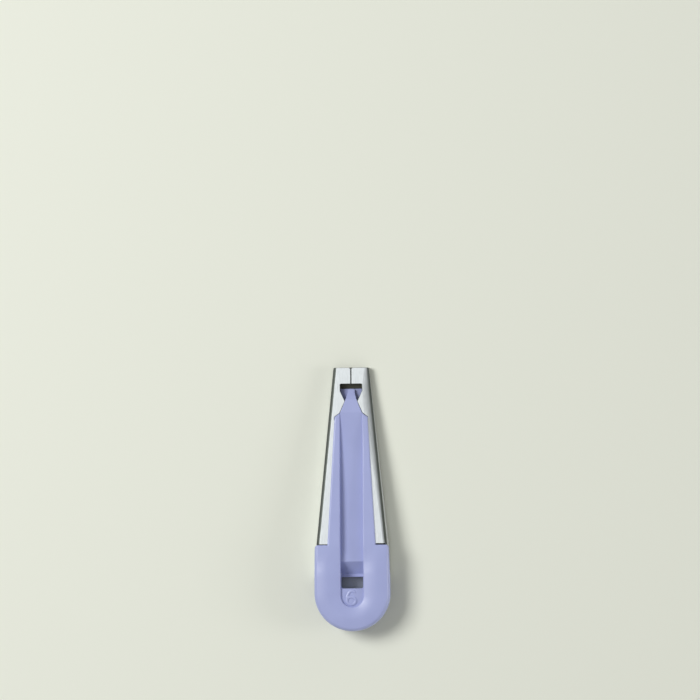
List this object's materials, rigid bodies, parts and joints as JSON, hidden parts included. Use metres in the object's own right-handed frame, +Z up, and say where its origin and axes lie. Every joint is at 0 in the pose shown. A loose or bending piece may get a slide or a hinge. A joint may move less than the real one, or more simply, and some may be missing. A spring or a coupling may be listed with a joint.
{
  "type": "fusible bias tape maker",
  "caption": "Tapered sheet-steel fabric folder with a moulded top guide that feeds fusible web through a channel to the tip, for pressing narrow bias tape.",
  "frame": {"origin": "centre of the bounding box's underside, in the plane of the shell's floor that the tool stands on", "axes": "+X across the tool, +Y along it towards the narrow tip, +Z up out of the web channel"},
  "size_m": [0.021, 0.0734, 0.0086],
  "materials": {
    "satin_steel": "satin, brushed lengthwise",
    "lavender_plastic": "satin moulded"
  },
  "bodies": {
    "root": {"folder_shell": "satin_steel", "web_guide": "lavender_plastic", "folding_core": "lavender_plastic"}
  },
  "joints": []
}
